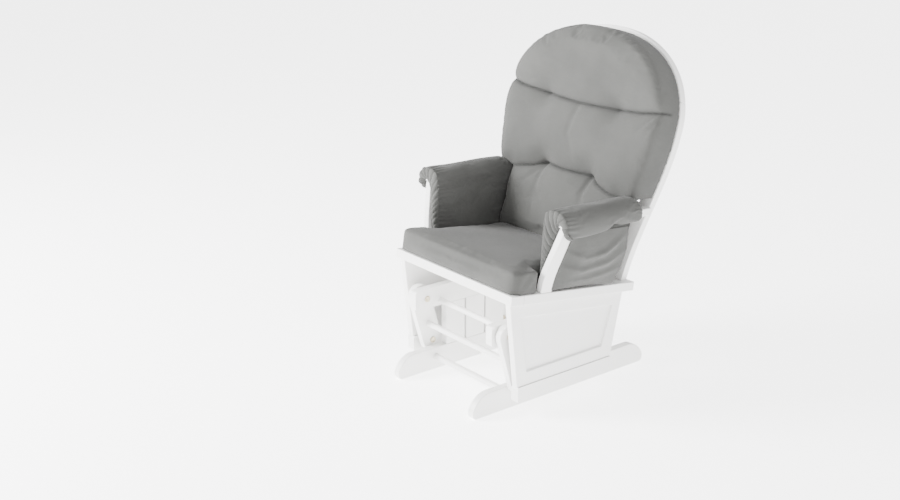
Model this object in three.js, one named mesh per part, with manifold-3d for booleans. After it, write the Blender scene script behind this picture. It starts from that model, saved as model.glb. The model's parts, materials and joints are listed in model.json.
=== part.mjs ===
// Glider nursery chair: a fixed wooden base, two pairs of swinging links, and the seat that hangs from them.
// Millimetres, +Z up. The origin is on the floor under the middle of the whole chair, the chair faces
// -Y, and +X is the sitter's left. While it is being built, y counts from the middle of the runners.
import * as THREE from 'three';
import { mergeVertices } from 'three/addons/utils/BufferGeometryUtils.js';
import Module from 'manifold-3d';

const wasm = await Module();
wasm.setup();

// ---------------------------------------------------------------- driving dimensions
const FIT = 0.3;                       // gap between pieces that touch
const deg = Math.PI / 180;

// base
const runnerLength = 672;
const runnerHeight = 70;
const runnerThickness = 25;
const runnerTip = 62;                  // length of the rounded run-up at each end of a runner
const runnerLip = 14;                  // rounding under each end
const baseWidth = 372;                 // over the outer faces of the runners
const uprightWidth = 72;
const uprightGap = 6;
const uprightCount = 3;
const uprightsFront = -156;            // front edge of the foremost upright
const topRailHeight = 62;
const topRailBottom = 204;
const topRailFront = -272;
const topRailCorner = 12;
const rearStretcherInset = 8;          // of the upper one, from the rear ends of the top rails
const topRailRearOverhang = 58;        // past the rear upper pivot
const baseDowelRadius = 10;
const upperDowelRadius = 8.5;
const lowerDowelY = -197;
const lowerDowelZ = 41;
const upperDowelY = -178;
const upperDowelZ = 219;
const stretcherThickness = 20;
const rearStretcherY = 205;
const rearStretcherHeight = 44;

// links
const frontUpperPivot = { y: -229, z: 235 };
const frontLowerPivot = { y: -185, z: 83 };
const rearUpperPivot = { y: 95, z: 235 };
const rearLowerPivot = { y: 96.5, z: 83 };
const linkRadius = 34;
const linkThickness = 20;
const linkGap = 6;                     // from the base's outer face to a link
const sideGap = 16;                    // from a link to the side panel
const linkDowelRadius = 9;
const frontDowelDrop = 99;             // down the link from its upper pivot
const rearDowelDrop = 46;

// pivot bolts
const boltRadius = 5;
const boltHeadRim = 4.5;               // of a head past its bolt; it covers the open pivot's hole
const boltHeadHeight = 3.5;
const boltCover = 9;                   // wood left over the end of a lower bolt
const nutRim = 4;
const nutHeight = 6;
const pivotClearance = 0.4;
const openPivotClearance = 3.2;        // the rear lower pivot, where the linkage closes
const collarRadius = 11;
const bearingRadius = 14;

// seat frame
const seatWidth = 524;
const seatLength = 478;
const seatTilt = 7.8 * deg;
const seatFront = { y: -266, z: 376 };  // front upper edge
const railWidth = 60;
const railThickness = 27;
const frontRailDepth = 46;
const rearRailDepth = 45;
const slatWidth = 88;
const slatThickness = 12;
const slatCount = 3;

// side panels
const panelThickness = 22;
const panelWidth = 500;                // over the outer faces of both panels
const panelFoot = 44;                  // floor to the underside of the bottom rail
const footRailHeight = 50;
const footRailProud = 3;
const footRailNose = 14;
const panelFootFront = -226;
const panelFootRear = 126;
const panelHeadFront = -262;
const panelHeadRear = 172;
const panelRearEase = 0.6;             // how far the rear edge follows the straight line by the bottom rail
const fieldMargin = 40;
const fieldDepth = 7;

// arms
const armPostWidth = 22;
const armPostDepth = 40;
const armPostPath = [                  // x outwards, y, and height above the rail as a share of the post
  { x: 250, y: -140, rise: 0 },
  { x: 256, y: -138, rise: 0.18 },
  { x: 267, y: -130, rise: 0.4 },
  { x: 282, y: -114, rise: 0.7 },
  { x: 296, y: -98, rise: 1 },
];
const armPostSteps = 16;
const armrestFront = -124;
const armrestUnderside = 550;          // at its front end
const armSlope = 5.4 * deg;
const armrestLength = 394;             // before its rear end is cut to meet the back
const armrestWidth = 46;
const armrestThickness = 22;
const armrestSpread = 296;             // from the middle of the chair to the middle of the arm, at the front
const armrestToeIn = 31;               // how far the arm comes in by its rear end
const padTop = 22;
const padOverhang = 6;
const padFrontCap = 9;
const padLength = 302;
const padRollWall = 7;                // least thickness of the roll beside the wooden arm
const padRollDrop = 30;
const padRollRound = 26;
const padRollTuck = 10;                // rounding of the roll's lower edges
const padPanelThickness = 10;
const padInnerFace = 230;
const padOuterFace = 320;
const padPanelTopRear = 124;
const padPanelFootRear = 76;
const padInnerRear = 112;
const padPocketLean = 14 * deg;         // the pocket panel comes in towards the seat rail
const padPocketDepth = 240;
const padPanelClearance = 14;          // above the seat frame
const padPanelLap = 6;                 // how far a hanging panel runs up into the roll
const padPostClearance = 8;            // between the outer panel and the arm post
const padInnerTuck = 2;                // how far the inner panel runs in front of the post's middle
const padArmClearance = 1;

// back
const recline = 15.6 * deg;
const backFoot = { y: 189, z: 290 };    // where the rear face of the back meets this height
const backHeight = 737;
const backHalfWidth = 316;
const backFootHalfWidth = 240;
const backWidestAt = 480;
const archPower = 2.1;                 // 2 is an ellipse, more is squarer
const archSteps = 14;
const backThickness = 22;
const backRim = 46;
const crestJoint = 560;
const backLowerRailHeight = 60;
const backLowerRailFrom = 50;
const spindleWidth = 32;
const spindleThickness = 10;
const spindleCount = 4;

// cushions
const seatCushionThickness = 70;
const seatCushionEarLength = 96;
const seatCushionHalfWidth = 222;
const seatCushionInset = 3;            // from the front and side edges of the seat frame
const seatCushionCorner = 36;
const seatCushionEarRound = 10;
const seatCushionTaper = 10;           // how much narrower each side is at the rear
const seatCushionLength = 424;
const backCushionThickness = 108;
const backCushionInset = 2;
const backCushionCrown = 10;           // how much lower the cushion ends under the top of the frame
const backCushionWaist = 226;          // half its width between the arm pads
const backCushionFrom = 20;            // where its outline starts, before it is cut above the seat cushion
const cushionGap = 2;

// ---------------------------------------------------------------- finishes
const paint = new THREE.MeshStandardMaterial({ color: 0xf2f1ee, roughness: 0.38, metalness: 0 });
const fabric = new THREE.MeshStandardMaterial({ color: 0x8c8c89, roughness: 0.92, metalness: 0 });
const zinc = new THREE.MeshStandardMaterial({ color: 0xb9b3a4, roughness: 0.35, metalness: 1 });
const nylon = new THREE.MeshStandardMaterial({ color: 0x3a3a3c, roughness: 0.6, metalness: 0 });

// ---------------------------------------------------------------- worked-out places
const baseOuter = baseWidth / 2;
const baseInner = baseOuter - runnerThickness;
const linkInner = baseOuter + linkGap;
const linkOuter = linkInner + linkThickness;
const panelOuter = panelWidth / 2;
const panelInner = linkOuter + sideGap;
const seatHalf = seatWidth / 2;
const sides = [{ name: 'left', sign: 1 }, { name: 'right', sign: -1 }];

// The world (y, z) of a point `back` mm along the seat frame and `up` mm above its upper face.
function seatPoint(back, up) {
  return new THREE.Vector2(
    seatFront.y + back * Math.cos(seatTilt) + up * Math.sin(seatTilt),
    seatFront.z - back * Math.sin(seatTilt) + up * Math.cos(seatTilt),
  );
}

// The height of a plane `up` mm above the seat frame's upper face, at a given y.
function seatHeight(y, up = 0) {
  return seatFront.z - (y - seatFront.y) * Math.tan(seatTilt) + up / Math.cos(seatTilt);
}

const boltHeadRadius = boltRadius + boltHeadRim;
const nutRadius = boltRadius + nutRim;

// ---------------------------------------------------------------- shape helpers
const object = new THREE.Group();
const sidePlane = new THREE.Matrix4().makeBasis(
  new THREE.Vector3(0, 1, 0), new THREE.Vector3(0, 0, 1), new THREE.Vector3(1, 0, 0));

function place(parent, name, geometry, material) {
  const mesh = new THREE.Mesh(geometry, material);
  mesh.name = name;
  parent.add(mesh);
  return mesh;
}

function polygon(points) {
  return new THREE.Shape(points.map((p) => new THREE.Vector2(p.x, p.y)));
}

function rectangle(left, right, low, high) {
  return polygon([{ x: left, y: low }, { x: right, y: low }, { x: right, y: high }, { x: left, y: high }]);
}

function extruded(shape, depth, curveSegments = 12) {
  return new THREE.ExtrudeGeometry(shape, { depth, bevelEnabled: false, curveSegments });
}

// A board whose profile lies in the side plane (y, z), from xLow to xHigh.
function sideBoard(parent, name, profile, xLow, xHigh, material) {
  const mesh = place(parent, name, extruded(profile, xHigh - xLow), material);
  mesh.quaternion.setFromRotationMatrix(sidePlane);
  mesh.position.x = xLow;
  return mesh;
}

// The same board on one side of the chair; the distances are from the middle.
function pairedBoard(parent, name, profile, side, inner, outer, material) {
  const xLow = side.sign > 0 ? inner : -outer;
  return sideBoard(parent, `${name}_${side.name}`, profile, xLow, xLow + outer - inner, material);
}

function roundHole(y, z, radius) {
  return new THREE.Path().absarc(y, z, radius, 0, 2 * Math.PI, true);
}

function toSolid(geometry) {
  const bare = geometry.clone();
  bare.deleteAttribute('normal');
  bare.deleteAttribute('uv');
  const merged = mergeVertices(bare, 1e-4);
  return new wasm.Manifold(new wasm.Mesh({
    numProp: 3,
    vertProperties: new Float32Array(merged.attributes.position.array),
    triVerts: new Uint32Array(merged.index.array),
  }));
}

function toGeometry(solid) {
  const mesh = solid.getMesh();
  const geometry = new THREE.BufferGeometry();
  geometry.setAttribute('position', new THREE.BufferAttribute(mesh.vertProperties, 3));
  geometry.setIndex(new THREE.BufferAttribute(mesh.triVerts, 1));
  return geometry;
}

function worldSolid(mesh) {
  mesh.updateWorldMatrix(true, false);
  return toSolid(mesh.geometry.clone().applyMatrix4(mesh.matrixWorld));
}

// Cuts a placed mesh with others, and leaves it where it is placed.
function cut(mesh, ...cutters) {
  let solid = worldSolid(mesh);
  for (const cutter of cutters) solid = solid.subtract(worldSolid(cutter));
  mesh.geometry = toGeometry(solid).applyMatrix4(mesh.matrixWorld.clone().invert());
}

// Everything below a plane that lies `up` mm above the seat frame, as a cutter.
function belowSeatPlane(up) {
  const reach = 2000;
  const block = new THREE.Mesh(new THREE.BoxGeometry(reach, reach, reach));
  const middle = seatPoint(0, up - reach / 2);
  block.rotation.x = -seatTilt;
  block.position.set(0, middle.x, middle.y);
  return block;
}

// A closed body through a row of sections with equal numbers of corners.
function lofted(sections) {
  const corners = sections[0].length;
  const positions = sections.flat().flatMap((p) => [p.x, p.y, p.z]);
  const index = [];
  for (let s = 0; s + 1 < sections.length; s++) {
    for (let c = 0; c < corners; c++) {
      const a = s * corners + c;
      const b = s * corners + ((c + 1) % corners);
      index.push(a, b, b + corners, a, b + corners, a + corners);
    }
  }
  const last = (sections.length - 1) * corners;
  for (let c = 1; c + 1 < corners; c++) {
    index.push(0, c + 1, c, last, last + c, last + c + 1);
  }
  const geometry = new THREE.BufferGeometry();
  geometry.setAttribute('position', new THREE.Float32BufferAttribute(positions, 3));
  geometry.setIndex(index);
  return geometry;
}

function mirroredX(geometry) {
  const copy = geometry.clone().applyMatrix4(new THREE.Matrix4().makeScale(-1, 1, 1));
  const index = Array.from(copy.index.array);
  for (let i = 0; i < index.length; i += 3) [index[i + 1], index[i + 2]] = [index[i + 2], index[i + 1]];
  copy.setIndex(index);
  return copy;
}

// A rod along X, turned from a profile of [radius, x] pairs.
function turned(parent, name, profile, y, z, material, side = 1, segments = 24) {
  const outline = profile.map(([radius, x]) => new THREE.Vector2(radius, x));
  const mesh = place(parent, name, new THREE.LatheGeometry(outline, segments), material);
  mesh.rotation.z = -side * Math.PI / 2;
  mesh.position.set(0, y, z);
  return mesh;
}

function rod(parent, name, radius, halfLength, y, z, material) {
  const profile = [[0, -halfLength], [radius, -halfLength], [radius, halfLength], [0, halfLength]];
  return turned(parent, name, profile, y, z, material);
}

// ---------------------------------------------------------------- base
function runnerProfile() {
  const half = runnerLength / 2;
  const lip = runnerLip;
  const bulge = runnerTip / 8;
  const nose = runnerHeight * 0.37;      // the height at which an end reaches farthest out
  const shoulder = runnerHeight * 0.66;
  const shape = new THREE.Shape();
  shape.moveTo(-half + lip, 0);
  shape.lineTo(half - lip, 0);
  shape.quadraticCurveTo(half + bulge / 2, 0, half, nose);
  const flat = half - runnerTip;
  shape.bezierCurveTo(half - bulge, shoulder, half - runnerTip / 2, runnerHeight, flat, runnerHeight);
  shape.lineTo(-flat, runnerHeight);
  shape.bezierCurveTo(-half + runnerTip / 2, runnerHeight, -half + bulge, shoulder, -half, nose);
  shape.quadraticCurveTo(-half - bulge / 2, 0, -half + lip, 0);
  return shape;
}

function topRailProfile() {
  const front = topRailFront;
  const rear = rearUpperPivot.y + topRailRearOverhang;
  const low = topRailBottom;
  const high = topRailBottom + topRailHeight;
  const corner = topRailCorner;
  const shape = new THREE.Shape();
  shape.moveTo(front + corner, low);
  shape.lineTo(rear - corner, low);
  shape.quadraticCurveTo(rear, low, rear, low + corner);
  shape.lineTo(rear, high - corner);
  shape.quadraticCurveTo(rear, high, rear - corner, high);
  shape.lineTo(front + corner, high);
  shape.quadraticCurveTo(front, high, front, high - corner);
  shape.lineTo(front, low + corner);
  shape.quadraticCurveTo(front, low, front + corner, low);
  for (const pivot of [frontUpperPivot, rearUpperPivot]) {
    shape.holes.push(roundHole(pivot.y, pivot.z, boltRadius + FIT));
  }
  return shape;
}

function makeBase(parent) {
  for (const side of sides) {
    pairedBoard(parent, 'runner', runnerProfile(), side, baseInner, baseOuter, paint);
    pairedBoard(parent, 'top_rail', topRailProfile(), side, baseInner, baseOuter, paint);
    for (let n = 0; n < uprightCount; n++) {
      const front = uprightsFront + n * (uprightWidth + uprightGap);
      const profile = rectangle(front, front + uprightWidth, runnerHeight + FIT, topRailBottom - FIT);
      pairedBoard(parent, `upright_${n + 1}`, profile, side, baseInner, baseOuter, paint);
    }
  }
  const span = baseInner - FIT;
  rod(parent, 'base_dowel_lower', baseDowelRadius, span, lowerDowelY, lowerDowelZ, paint);
  rod(parent, 'base_dowel_upper', upperDowelRadius, span, upperDowelY, upperDowelZ, paint);
  const low = (runnerHeight - rearStretcherHeight) / 2;
  const lower = rectangle(rearStretcherY, rearStretcherY + stretcherThickness, low, low + rearStretcherHeight);
  sideBoard(parent, 'rear_stretcher_lower', lower, -span, span, paint);
  const upperRear = rearUpperPivot.y + topRailRearOverhang - rearStretcherInset;
  const upperLow = topRailBottom + (topRailHeight - rearStretcherHeight) / 2;
  const upper = rectangle(upperRear - stretcherThickness, upperRear, upperLow, upperLow + rearStretcherHeight);
  sideBoard(parent, 'rear_stretcher_upper', upper, -span, span, paint);
}

// ---------------------------------------------------------------- links and their pivots
function linkProfile(upper, lower, upperHole, lowerHole) {
  const lean = Math.atan2(lower.y - upper.y, upper.z - lower.z);
  const shape = new THREE.Shape();
  shape.absarc(upper.y, upper.z, linkRadius, lean, lean + Math.PI, false);
  shape.absarc(lower.y, lower.z, linkRadius, lean + Math.PI, lean + 2 * Math.PI, false);
  shape.closePath();
  shape.holes.push(roundHole(upper.y, upper.z, upperHole), roundHole(lower.y, lower.z, lowerHole));
  return shape;
}

function pointDownLink(upper, lower, drop) {
  const length = Math.hypot(lower.y - upper.y, lower.z - upper.z);
  return {
    y: upper.y + (lower.y - upper.y) * drop / length,
    z: upper.z + (lower.z - upper.z) * drop / length,
  };
}

function makeLinks(parent, name, upper, lower, lowerClearance, dowelDrop) {
  const hole = boltRadius + pivotClearance;
  for (const side of sides) {
    const profile = linkProfile(upper, lower, hole, boltRadius + lowerClearance);
    pairedBoard(parent, `${name}_link`, profile, side, linkInner, linkOuter, paint);
  }
  const dowel = pointDownLink(upper, lower, dowelDrop);
  rod(parent, `${name}_link_dowel`, linkDowelRadius, linkInner - FIT, dowel.y, dowel.z, paint);
}

// A bolt from inside the base, through the top rail and a spacing collar, with its nut outside the link.
function makeUpperBolt(parent, name, pivot, side) {
  const headFace = baseInner - FIT;
  const collarIn = baseOuter + FIT;
  const collarOut = linkInner - FIT;
  const nutIn = linkOuter + FIT;
  turned(parent, `${name}_${side.name}`, [
    [0, headFace - boltHeadHeight], [boltHeadRadius - 1, headFace - boltHeadHeight],
    [boltHeadRadius, headFace - boltHeadHeight + 1], [boltHeadRadius, headFace],
    [boltRadius, headFace], [boltRadius, collarIn], [collarRadius, collarIn], [collarRadius, collarOut],
    [boltRadius, collarOut], [boltRadius, nutIn], [nutRadius, nutIn], [nutRadius, nutIn + nutHeight],
    [0, nutIn + nutHeight],
  ], pivot.y, pivot.z, zinc, side.sign);
}

// A bolt from the inner face of a link into the side panel's bottom rail.
function makeLowerBolt(parent, name, pivot, side) {
  const headFace = linkInner - FIT;
  const end = lowerBoltEnd();
  turned(parent, `${name}_${side.name}`, [
    [0, headFace - boltHeadHeight], [boltHeadRadius - 1, headFace - boltHeadHeight],
    [boltHeadRadius, headFace - boltHeadHeight + 1], [boltHeadRadius, headFace],
    [boltRadius, headFace], [boltRadius, end], [0, end],
  ], pivot.y, pivot.z, zinc, side.sign);
}

function makeBearing(parent, name, pivot, side) {
  const from = linkOuter + FIT;
  const to = panelInner - footRailProud - FIT;
  const bore = boltRadius + FIT;
  turned(parent, `${name}_${side.name}`, [
    [bore, from], [bearingRadius, from], [bearingRadius, to], [bore, to], [bore, from],
  ], pivot.y, pivot.z, nylon, side.sign);
}

// ---------------------------------------------------------------- seat frame
function seatBoard(parent, name, from, to, low, high, xLow, xHigh) {
  const profile = new THREE.Shape([
    seatPoint(from, low), seatPoint(to, low), seatPoint(to, high), seatPoint(from, high),
  ]);
  return sideBoard(parent, name, profile, xLow, xHigh, paint);
}

function makeSeatFrame(parent) {
  const railInner = seatHalf - railWidth;
  seatBoard(parent, 'seat_front_rail', 0, frontRailDepth, -railThickness, 0, -seatHalf, seatHalf);
  for (const side of sides) {
    const profile = new THREE.Shape([
      seatPoint(frontRailDepth + FIT, -railThickness), seatPoint(seatLength, -railThickness),
      seatPoint(seatLength, 0), seatPoint(frontRailDepth + FIT, 0),
    ]);
    pairedBoard(parent, 'seat_side_rail', profile, side, railInner, seatHalf, paint);
  }
  const span = railInner - FIT;
  const rearFrom = seatLength - rearRailDepth;
  seatBoard(parent, 'seat_rear_rail', rearFrom, seatLength, -railThickness, 0, -span, span);
  const room = rearFrom - frontRailDepth;
  const gap = (room - slatCount * slatWidth) / (slatCount + 1);
  for (let n = 0; n < slatCount; n++) {
    const from = frontRailDepth + gap + n * (slatWidth + gap);
    seatBoard(parent, `seat_slat_${n + 1}`, from, from + slatWidth, -slatThickness, 0, -span, span);
  }
}

// ---------------------------------------------------------------- side panels
// How far out the lower pivot bolts reach, short of the foot rail's outer face.
function lowerBoltEnd() {
  return panelOuter + footRailProud - boltCover;
}

function footRailProfile() {
  const low = panelFoot;
  const high = panelFoot + footRailHeight;
  const nose = footRailNose;
  const shape = new THREE.Shape();
  const front = panelFootFront - footRailProud * 2;
  const rear = panelFootRear + footRailProud;
  shape.moveTo(front + nose, low);
  shape.lineTo(rear, low);
  shape.lineTo(rear, high);
  shape.lineTo(front + nose / 2, high);
  shape.quadraticCurveTo(front, high, front, high - nose);
  shape.lineTo(front, low + nose);
  shape.quadraticCurveTo(front, low, front + nose, low);
  return shape;
}

// The panel's outline, or that of the field sunk into it when inset by a margin.
function panelProfile(margin) {
  const low = panelFoot + footRailHeight + FIT + margin;
  const head = (y) => seatHeight(y, -railThickness) - FIT - margin;
  const footShare = (low - panelFoot) / (seatHeight(panelFootFront, -railThickness) - panelFoot);
  const frontLow = panelFootFront + (panelHeadFront - panelFootFront) * footShare + margin;
  const rearLow = panelFootRear + (panelHeadRear - panelFootRear) * footShare * panelRearEase - margin;
  const frontHigh = panelHeadFront + margin;
  const rearHigh = panelHeadRear - margin;
  return polygon([
    { x: frontLow, y: low }, { x: rearLow, y: low },
    { x: rearHigh, y: head(rearHigh) }, { x: frontHigh, y: head(frontHigh) },
  ]);
}

function makeSidePanel(parent, side) {
  const panel = pairedBoard(parent, 'side_panel', panelProfile(0), side, panelInner, panelOuter, paint);
  const spare = 10;
  const field = pairedBoard(new THREE.Group(), 'field', panelProfile(fieldMargin), side,
    panelOuter - fieldDepth, panelOuter + spare, paint);
  cut(panel, field);
  const footRail = pairedBoard(parent, 'panel_foot_rail', footRailProfile(), side,
    panelInner - footRailProud, panelOuter + footRailProud, paint);
  for (const pivot of [frontLowerPivot, rearLowerPivot]) {
    const bore = boltRadius + FIT;
    const profile = [[0, linkOuter], [bore, linkOuter], [bore, lowerBoltEnd() + 1], [0, lowerBoltEnd() + 1]];
    cut(footRail, turned(new THREE.Group(), 'bore', profile, pivot.y, pivot.z, paint, side.sign));
  }
}

// ---------------------------------------------------------------- arms
function armrestHeight(y) {
  return armrestUnderside - (y - armrestFront) * Math.tan(armSlope);
}

function armPostCurve() {
  return new THREE.CatmullRomCurve3(armPostPath.map((p) => new THREE.Vector3(p.x, p.y, p.rise)));
}

function armPostGeometry() {
  const curve = armPostCurve();
  const sections = [];
  for (let n = 0; n <= armPostSteps; n++) {
    const share = n / armPostSteps;
    const middle = curve.getPoint(share);
    const section = [];
    for (const [dx, dy] of [[-1, -1], [1, -1], [1, 1], [-1, 1]]) {
      const x = middle.x + dx * armPostWidth / 2;
      const y = middle.y + dy * armPostDepth / 2;
      const low = seatHeight(y) + FIT;
      const high = armrestHeight(y) - FIT;
      section.push(new THREE.Vector3(x, y, low + (high - low) * middle.z));
    }
    sections.push(section);
  }
  return lofted(sections);
}

function armrestOutline() {
  const half = armrestWidth / 2;
  const round = half * 0.7;
  const rear = armrestLength;
  const rearX = armrestSpread - armrestToeIn;
  const bend = armrestToeIn / 4;
  const shape = new THREE.Shape();
  shape.moveTo(armrestSpread - half, round);
  shape.quadraticCurveTo(armrestSpread - half, 0, armrestSpread, 0);
  shape.quadraticCurveTo(armrestSpread + half, 0, armrestSpread + half, round);
  shape.bezierCurveTo(armrestSpread + half, rear * 0.5, rearX + half + bend, rear * 0.7, rearX + half, rear);
  shape.lineTo(rearX - half, rear);
  shape.bezierCurveTo(rearX - half + bend, rear * 0.7, armrestSpread - half, rear * 0.5,
    armrestSpread - half, round);
  return shape;
}

// The pad's roll over the armrest, seen from the front: x outwards, y up from the armrest's underside.
function padRollSection() {
  const inner = padInnerFace;
  const outer = armrestSpread + armrestWidth / 2 + padOverhang;
  const low = -padRollDrop;
  const top = armrestThickness + padTop;
  const round = padRollRound;
  const tuck = padRollTuck;
  const shape = new THREE.Shape();
  shape.moveTo(inner + tuck, low);
  shape.lineTo(outer - tuck, low);
  shape.quadraticCurveTo(outer, low, outer, low + tuck);
  shape.lineTo(outer, top - round);
  shape.quadraticCurveTo(outer, top, outer - round, top);
  shape.lineTo(inner + round, top);
  shape.quadraticCurveTo(inner, top, inner, top - round);
  shape.lineTo(inner, low + tuck);
  shape.quadraticCurveTo(inner, low, inner + tuck, low);
  return shape;
}

function makeArm(parent, side) {
  const tilted = new THREE.Group();
  tilted.position.set(0, armrestFront, armrestUnderside);
  tilted.rotation.x = -armSlope;
  parent.add(tilted);

  const post = armPostGeometry();
  place(parent, `arm_post_${side.name}`, side.sign > 0 ? post : mirroredX(post), paint);

  const board = toGeometry(toSolid(extruded(armrestOutline(), armrestThickness)));
  const armrest = place(tilted, `armrest_${side.name}`, side.sign > 0 ? board : mirroredX(board), paint);
  cut(armrest, backSlab(FIT));

  const pad = makeArmPad();
  place(parent, `arm_pad_${side.name}`, side.sign > 0 ? pad : mirroredX(pad), fabric);
}

// A sleeve over the arm: a roll on top, and a quilted panel hanging on each side.
function makeArmPad() {
  const frame = new THREE.Matrix4().makeRotationX(-armSlope).setPosition(0, armrestFront, armrestUnderside);
  const along = new THREE.Matrix4().makeRotationX(Math.PI / 2);
  const inArm = (shape, from, to) => toSolid(
    extruded(shape, to - from, 6).applyMatrix4(along)
      .translate(0, to, 0).applyMatrix4(frame));

  let solid = inArm(padRollSection(), -padFrontCap, padLength);
  for (const face of ['inner', 'outer']) {
    const x = face === 'inner' ? padInnerFace : padOuterFace - padPanelThickness;
    const footRear = face === 'inner' ? padInnerRear : padPanelFootRear;
    const headRear = face === 'inner' ? padInnerRear : padPanelTopRear;
    const pastPost = face === 'inner' ? -padInnerTuck : armPostDepth / 2 + padPostClearance;
    const front = (share) => armPostCurve().getPoint(share).y + pastPost;
    const low = (y) => seatHeight(y, padPanelClearance);
    const high = (y) => armrestHeight(y) - padRollDrop + padPanelLap;
    const panel = polygon([
      { x: front(0), y: low(front(0)) }, { x: footRear, y: low(footRear) },
      { x: headRear, y: high(headRear) }, { x: front(1), y: high(front(1)) },
      { x: front(0.5), y: (low(front(0.5)) + high(front(0.5))) / 2 },
    ]);
    const lean = face === 'inner' ? 0 : Math.tan(padPocketLean);
    const leaning = new THREE.Matrix4().makeShear(0, 0, 0, 0, lean, 0);
    solid = solid.add(toSolid(extruded(panel, padPanelThickness).applyMatrix4(sidePlane)
      .applyMatrix4(leaning).translate(x - lean * armrestUnderside, 0, 0)));
  }
  // room for the wooden arm and, below it, for the post and the hollow of the pocket
  const clear = padArmClearance;
  const reach = 2 * padLength;
  const armRoom = rectangle(padInnerFace + padRollWall, armrestSpread + armrestWidth / 2 + clear,
    -clear, armrestThickness + clear);
  const lean = padPocketDepth * Math.tan(padPocketLean);
  const inner = padInnerFace + padPanelThickness;
  const outer = padOuterFace - padPanelThickness;
  const pocket = polygon([
    { x: inner, y: -padPocketDepth }, { x: outer - lean, y: -padPocketDepth }, { x: outer, y: 0 }, { x: inner, y: 0 },
  ]);
  solid = solid.subtract(inArm(armRoom, -clear, reach));
  return toGeometry(solid.subtract(inArm(pocket, -reach, reach)));
}

// ---------------------------------------------------------------- back
// Half the width of the back's outline at a height along it, less an inset.
function backHalf(v, inset) {
  if (v <= backWidestAt) {
    const share = Math.max(v, 0) / backWidestAt;
    const ease = share * share * (3 - 2 * share);
    return backFootHalfWidth + (backHalfWidth - backFootHalfWidth) * ease - inset;
  }
  const rise = Math.min((v - backWidestAt) / (backHeight - inset - backWidestAt), 1);
  return (backHalfWidth - inset) * (1 - rise ** archPower) ** (1 / archPower);
}

// The height at which the arch, less an inset, is this far from the middle.
function archHeight(x, inset) {
  const share = Math.abs(x) / (backHalfWidth - inset);
  return backWidestAt + (backHeight - inset - backWidestAt) * (1 - share ** archPower) ** (1 / archPower);
}

// One side of the outline from a given height up to the crown, as (x, v) points.
function backEdge(from, inset) {
  const points = [];
  for (let n = 0; n < archSteps; n++) {
    const v = from + (backWidestAt - from) * n / archSteps;
    points.push(new THREE.Vector2(backHalf(v, inset), v));
  }
  for (let n = 0; n < archSteps * 2; n++) {
    const turn = n / (archSteps * 2) * Math.PI / 2;
    const power = 2 / archPower;
    points.push(new THREE.Vector2(
      (backHalfWidth - inset) * Math.cos(turn) ** power,
      backWidestAt + (backHeight - inset - backWidestAt) * Math.sin(turn) ** power));
  }
  points.push(new THREE.Vector2(0, backHeight - inset));
  return points;
}

// The same for the cushion, which ends a little lower under the crown.
function cushionEdge() {
  const rise = (p) => Math.max(p.y - backWidestAt, 0) / (backHeight - backWidestAt);
  return backEdge(backCushionFrom, backCushionInset)
    .map((p) => new THREE.Vector2(p.x, p.y - backCushionCrown * rise(p) ** 3));
}

function mirrorPoints(points) {
  return points.slice(0, -1).reverse().map((p) => new THREE.Vector2(-p.x, p.y));
}

// A board whose outline lies in the plane of the back; depths are forward from its rear face.
function backBoard(parent, name, shape, from, to, material) {
  const mesh = place(parent, name, extruded(shape, to - from), material);
  mesh.rotation.x = Math.PI / 2;
  mesh.position.y = -from;
  return mesh;
}

function reclined() {
  const group = new THREE.Group();
  group.position.set(0, backFoot.y, backFoot.z);
  group.rotation.x = -recline;
  return group;
}

// The space that the back frame fills, grown forward by a gap, as a cutter.
function backSlab(gap) {
  const reach = 1000;
  const face = rectangle(-reach, reach, -reach, reach);
  const slab = backBoard(reclined(), 'slab', face, -reach, backThickness + gap);
  slab.updateWorldMatrix(true, false);
  return slab;
}

function makeBack(parent) {
  const group = reclined();
  parent.add(group);
  const below = -40;
  const floor = belowSeatPlane(FIT);

  const outer = backEdge(below, 0);
  const inner = backEdge(below, backRim);
  const band = new THREE.Shape([
    ...outer, ...mirrorPoints(outer), ...mirrorPoints(inner).reverse(), ...inner.slice().reverse(),
  ]);
  const crest = backBoard(group, 'back_crest', band, 0, backThickness, paint);
  const beyond = 500;
  const cutter = (left, right, low, high) => backBoard(
    reclined(), 'cutter', rectangle(left, right, low, high), -1, beyond);
  const lowerHalf = cutter(-beyond, beyond, -beyond, crestJoint);
  cut(crest, lowerHalf);
  for (const side of sides) {
    const post = backBoard(group, `back_post_${side.name}`, band, 0, backThickness, paint);
    const upperHalf = cutter(-beyond, beyond, crestJoint - FIT, beyond * 2);
    const otherSide = side.sign > 0
      ? cutter(-beyond, 0, -beyond, beyond * 2) : cutter(0, beyond, -beyond, beyond * 2);
    cut(post, upperHalf, otherSide, floor);
  }

  const railLow = backLowerRailFrom;
  const railHigh = railLow + backLowerRailHeight;
  const inside = (v) => backHalf(v, backRim) - FIT * 3;
  backBoard(group, 'back_lower_rail', polygon([
    { x: -inside(railLow), y: railLow }, { x: inside(railLow), y: railLow },
    { x: inside(railHigh), y: railHigh }, { x: -inside(railHigh), y: railHigh },
  ]), 0, backThickness, paint);

  const pitch = 2 * inside(railHigh) / (spindleCount + 1);
  const spindleFrom = (backThickness - spindleThickness) / 2;
  for (let n = 0; n < spindleCount; n++) {
    const x = (n - (spindleCount - 1) / 2) * pitch;
    const edge = Math.abs(x) + spindleWidth / 2;
    const top = archHeight(edge, backRim) - FIT * 4;
    backBoard(group, `back_spindle_${n + 1}`,
      rectangle(x - spindleWidth / 2, x + spindleWidth / 2, railHigh + FIT, top),
      spindleFrom, spindleFrom + spindleThickness, paint);
  }
}

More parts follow.
